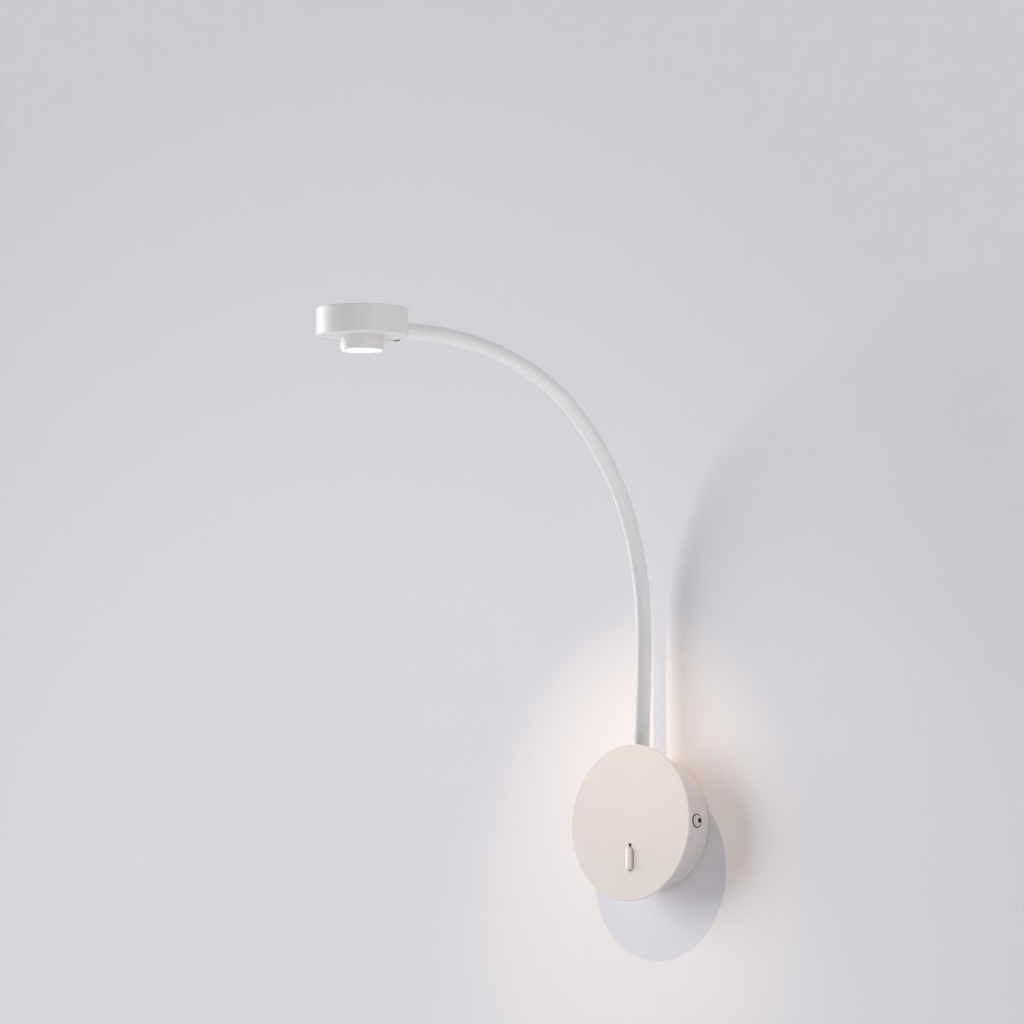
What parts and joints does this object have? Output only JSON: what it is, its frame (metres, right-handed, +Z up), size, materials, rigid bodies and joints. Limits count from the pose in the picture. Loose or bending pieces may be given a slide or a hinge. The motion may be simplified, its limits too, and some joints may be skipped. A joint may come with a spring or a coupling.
{
  "type": "wall reading lamp",
  "caption": "Bedside wall lamp with a bendable gooseneck arm, a round lit head with a lens, and a round base with a rocker switch and a halo ring that lights the wall.",
  "frame": {"origin": "centre of the wall plate's back face, on the wall", "axes": "+Z up along the wall, +Y into the wall, so the lamp stands out towards -Y, +X to the right for someone who faces the lamp"},
  "size_m": [0.12, 0.3714, 0.4271],
  "materials": {
    "cover_paint": "fine matt powder coat, warm white",
    "head_paint": "satin powder coat, white, on aluminium",
    "holder_paint": "satin powder coat, white, on aluminium",
    "ferrule_paint": "satin powder coat, white, on aluminium",
    "screw_paint": "painted over, white",
    "sleeve_silicone": "smooth matt silicone, white",
    "hose_steel": "galvanised strip-wound hose",
    "lead_pvc": "two-core lead, white",
    "opal_acrylic": "opal, lets light through",
    "lens_acrylic": "clear moulded lens, lit from inside",
    "rocker_plastic": "satin, white",
    "switch_plastic": "moulded, white",
    "dot_plastic": "black",
    "zinc_steel": "zinc plated, pressed",
    "fastener_steel": "zinc plated",
    "brass_parts": "turned brass",
    "sink_aluminium": "cast, plain",
    "board_laminate": "white solder mask",
    "warm_led": "yellow phosphor",
    "driver_plastic": "moulded case, white",
    "terminal_plastic": "moulded, natural white",
    "grommet_rubber": "black"
  },
  "bodies": {
    "root": {"wall_plate": "zinc_steel", "halo_ring": "opal_acrylic", "halo_board": "board_laminate", "halo_leds": "warm_led", "halo_screws": "fastener_steel", "cable_grommet": "grommet_rubber", "base_cover": "cover_paint", "side_screws": "screw_paint", "driver_case": "driver_plastic", "driver_screws": "fastener_steel", "terminal_block": "terminal_plastic", "terminal_screws": "fastener_steel", "earth_lug": "brass_parts", "earth_screw": "brass_parts", "switch_housing": "switch_plastic", "switch_tabs": "brass_parts", "switch_dot": "dot_plastic", "arm_nipple": "brass_parts", "arm_washer": "fastener_steel", "arm_nut": "brass_parts", "arm_sleeve_0": "sleeve_silicone", "arm_hose_0": "hose_steel", "arm_lead_0": "lead_pvc"},
    "rocker": {"rocker": "rocker_plastic"},
    "link_1": {"arm_sleeve_1": "sleeve_silicone", "arm_hose_1": "hose_steel", "arm_lead_1": "lead_pvc"},
    "link_2": {"arm_sleeve_2": "sleeve_silicone", "arm_hose_2": "hose_steel", "arm_lead_2": "lead_pvc"},
    "link_3": {"arm_sleeve_3": "sleeve_silicone", "arm_hose_3": "hose_steel", "arm_lead_3": "lead_pvc"},
    "link_4": {"arm_sleeve_4": "sleeve_silicone", "arm_hose_4": "hose_steel", "arm_lead_4": "lead_pvc"},
    "link_5": {"arm_sleeve_5": "sleeve_silicone", "arm_hose_5": "hose_steel", "arm_lead_5": "lead_pvc"},
    "link_6": {"arm_sleeve_6": "sleeve_silicone", "arm_hose_6": "hose_steel", "arm_lead_6": "lead_pvc"},
    "link_7": {"arm_sleeve_7": "sleeve_silicone", "arm_hose_7": "hose_steel", "arm_lead_7": "lead_pvc"},
    "link_8": {"arm_sleeve_8": "sleeve_silicone", "arm_hose_8": "hose_steel", "arm_lead_8": "lead_pvc", "head_ferrule": "ferrule_paint", "head_shell": "head_paint", "head_base_plate": "head_paint", "clamp_screw": "screw_paint", "heat_sink": "sink_aluminium", "sink_screws": "fastener_steel", "light_board": "board_laminate", "light_chip": "warm_led", "lens_holder": "holder_paint", "lens": "lens_acrylic"}
  },
  "joints": [
    {"name": "arm_side_bend", "type": "hinge", "parent": "root", "child": "link_1", "pos_m": [0, -0.01958, 0.08998], "axis": [0, 1, 0], "range_deg": [-35, 35]},
    {"name": "lower_bend", "type": "hinge", "parent": "link_1", "child": "link_2", "pos_m": [0, -0.01827, 0.14995], "axis": [1, 0, 0], "range_deg": [0, 15]},
    {"name": "lower_bend_2", "type": "hinge", "parent": "link_2", "child": "link_3", "pos_m": [0, -0.02711, 0.20912], "axis": [1, 0, 0], "range_deg": [0, 15]},
    {"name": "lower_bend_3", "type": "hinge", "parent": "link_3", "child": "link_4", "pos_m": [0, -0.05283, 0.26302], "axis": [1, 0, 0], "range_deg": [0, 15]},
    {"name": "upper_bend", "type": "hinge", "parent": "link_4", "child": "link_5", "pos_m": [0, -0.09361, 0.30676], "axis": [1, 0, 0], "range_deg": [-20, 15]},
    {"name": "upper_bend_2", "type": "hinge", "parent": "link_5", "child": "link_6", "pos_m": [0, -0.1456, 0.33617], "axis": [1, 0, 0], "range_deg": [-20, 15]},
    {"name": "upper_bend_3", "type": "hinge", "parent": "link_6", "child": "link_7", "pos_m": [0, -0.20359, 0.35117], "axis": [1, 0, 0], "range_deg": [-20, 15]},
    {"name": "head_side_bend", "type": "hinge", "parent": "link_7", "child": "link_8", "pos_m": [0, -0.26337, 0.35535], "axis": [0, 0, 1], "range_deg": [-35, 35]},
    {"name": "rocker_tilt", "type": "hinge", "parent": "root", "child": "rocker", "pos_m": [0, -0.031, -0.028], "axis": [1, 0, 0], "range_deg": [-6, 6]}
  ],
  "couplings": [
    {"joint": "lower_bend_2", "follows": "lower_bend", "ratio": 1},
    {"joint": "lower_bend_3", "follows": "lower_bend", "ratio": 1},
    {"joint": "upper_bend_2", "follows": "upper_bend", "ratio": 1},
    {"joint": "upper_bend_3", "follows": "upper_bend", "ratio": 1}
  ]
}
